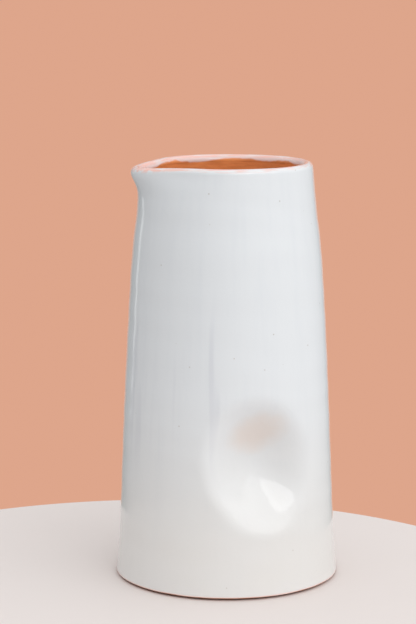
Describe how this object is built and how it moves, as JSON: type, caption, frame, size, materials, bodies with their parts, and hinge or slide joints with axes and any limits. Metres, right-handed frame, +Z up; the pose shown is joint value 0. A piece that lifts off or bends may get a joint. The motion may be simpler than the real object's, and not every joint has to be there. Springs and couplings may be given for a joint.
{
  "type": "ceramic pitcher",
  "caption": "Tall tapered ceramic pitcher without a handle, with a small pinched pouring spout and a pressed thumb dimple for grip; white glaze outside, clear glaze over terracotta inside.",
  "frame": {"origin": "centre of the foot, on the surface that the pitcher stands on", "axes": "+Z up, along the axis of the vessel; the spout points to -X; the thumb dimple faces -Y"},
  "size_m": [0.1126, 0.1126, 0.21],
  "materials": {
    "terracotta": "matt, fired, unglazed",
    "white_glaze": "glossy, slightly uneven",
    "clear_glaze": "glossy, clear over terracotta"
  },
  "bodies": {
    "root": {"clay_body": "terracotta", "white_glaze_coat": "white_glaze", "clear_glaze_lining": "clear_glaze"}
  },
  "joints": []
}
